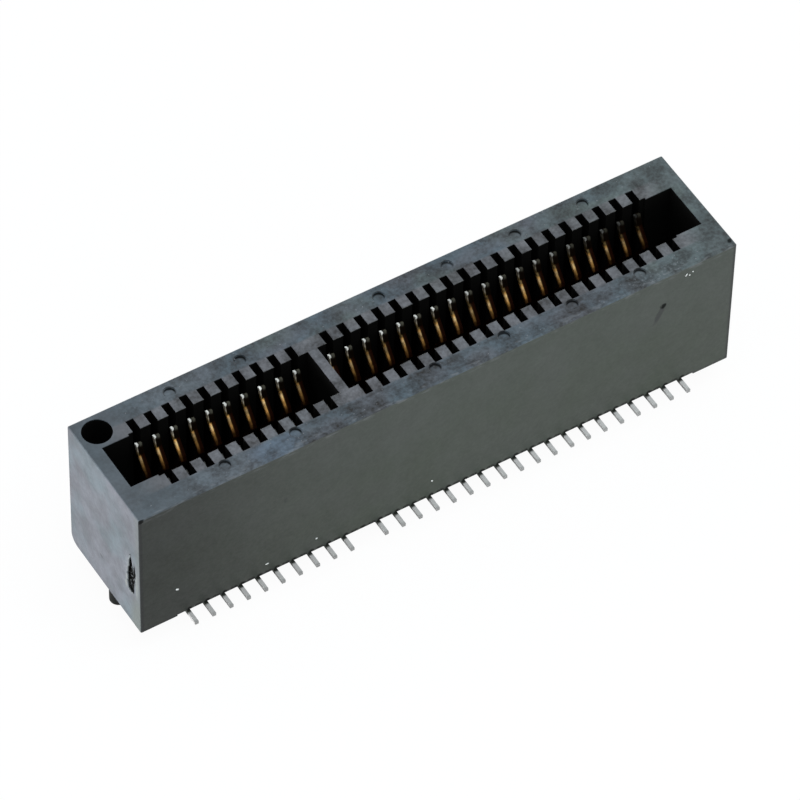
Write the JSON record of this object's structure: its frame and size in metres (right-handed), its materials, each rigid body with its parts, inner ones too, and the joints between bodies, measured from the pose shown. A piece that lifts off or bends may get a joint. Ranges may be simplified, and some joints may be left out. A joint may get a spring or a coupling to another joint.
{
  "type": "card edge connector",
  "caption": "Straight surface-mount socket that takes a card's edge in a keyed slot between two rows of sprung contacts, with round locating pegs under its ends.",
  "frame": {"origin": "on the board's surface, midway between the axes of the two locating pegs", "axes": "+X along the rows, away from the end with the position 1 hole; +Y towards the long side with that hole; +Z out of the card slot, away from the board"},
  "size_m": [0.0346, 0.0082, 0.0103],
  "materials": {
    "housing_plastic": "moulded black glass-filled plastic, satin",
    "contact_metal": "copper alloy strip, gold on the ramp and crown, matte tin on the solder foot"
  },
  "bodies": {
    "root": {"housing": "housing_plastic", "contact_back_01": "contact_metal", "contact_back_02": "contact_metal", "contact_back_03": "contact_metal", "contact_back_04": "contact_metal", "contact_back_05": "contact_metal", "contact_back_06": "contact_metal", "contact_back_07": "contact_metal", "contact_back_08": "contact_metal", "contact_back_09": "contact_metal", "contact_back_10": "contact_metal", "contact_back_12": "contact_metal", "contact_back_13": "contact_metal", "contact_back_14": "contact_metal", "contact_back_15": "contact_metal", "contact_back_16": "contact_metal", "contact_back_17": "contact_metal", "contact_back_18": "contact_metal", "contact_back_19": "contact_metal", "contact_back_20": "contact_metal", "contact_back_21": "contact_metal", "contact_back_22": "contact_metal", "contact_back_23": "contact_metal", "contact_back_24": "contact_metal", "contact_back_25": "contact_metal", "contact_back_26": "contact_metal", "contact_back_27": "contact_metal", "contact_back_28": "contact_metal", "contact_back_29": "contact_metal", "contact_back_30": "contact_metal", "contact_front_01": "contact_metal", "contact_front_02": "contact_metal", "contact_front_03": "contact_metal", "contact_front_04": "contact_metal", "contact_front_05": "contact_metal", "contact_front_06": "contact_metal", "contact_front_07": "contact_metal", "contact_front_08": "contact_metal", "contact_front_09": "contact_metal", "contact_front_10": "contact_metal", "contact_front_12": "contact_metal", "contact_front_13": "contact_metal", "contact_front_14": "contact_metal", "contact_front_15": "contact_metal", "contact_front_16": "contact_metal", "contact_front_17": "contact_metal", "contact_front_18": "contact_metal", "contact_front_19": "contact_metal", "contact_front_20": "contact_metal", "contact_front_21": "contact_metal", "contact_front_22": "contact_metal", "contact_front_23": "contact_metal", "contact_front_24": "contact_metal", "contact_front_25": "contact_metal", "contact_front_26": "contact_metal", "contact_front_27": "contact_metal", "contact_front_28": "contact_metal", "contact_front_29": "contact_metal", "contact_front_30": "contact_metal"}
  },
  "joints": []
}
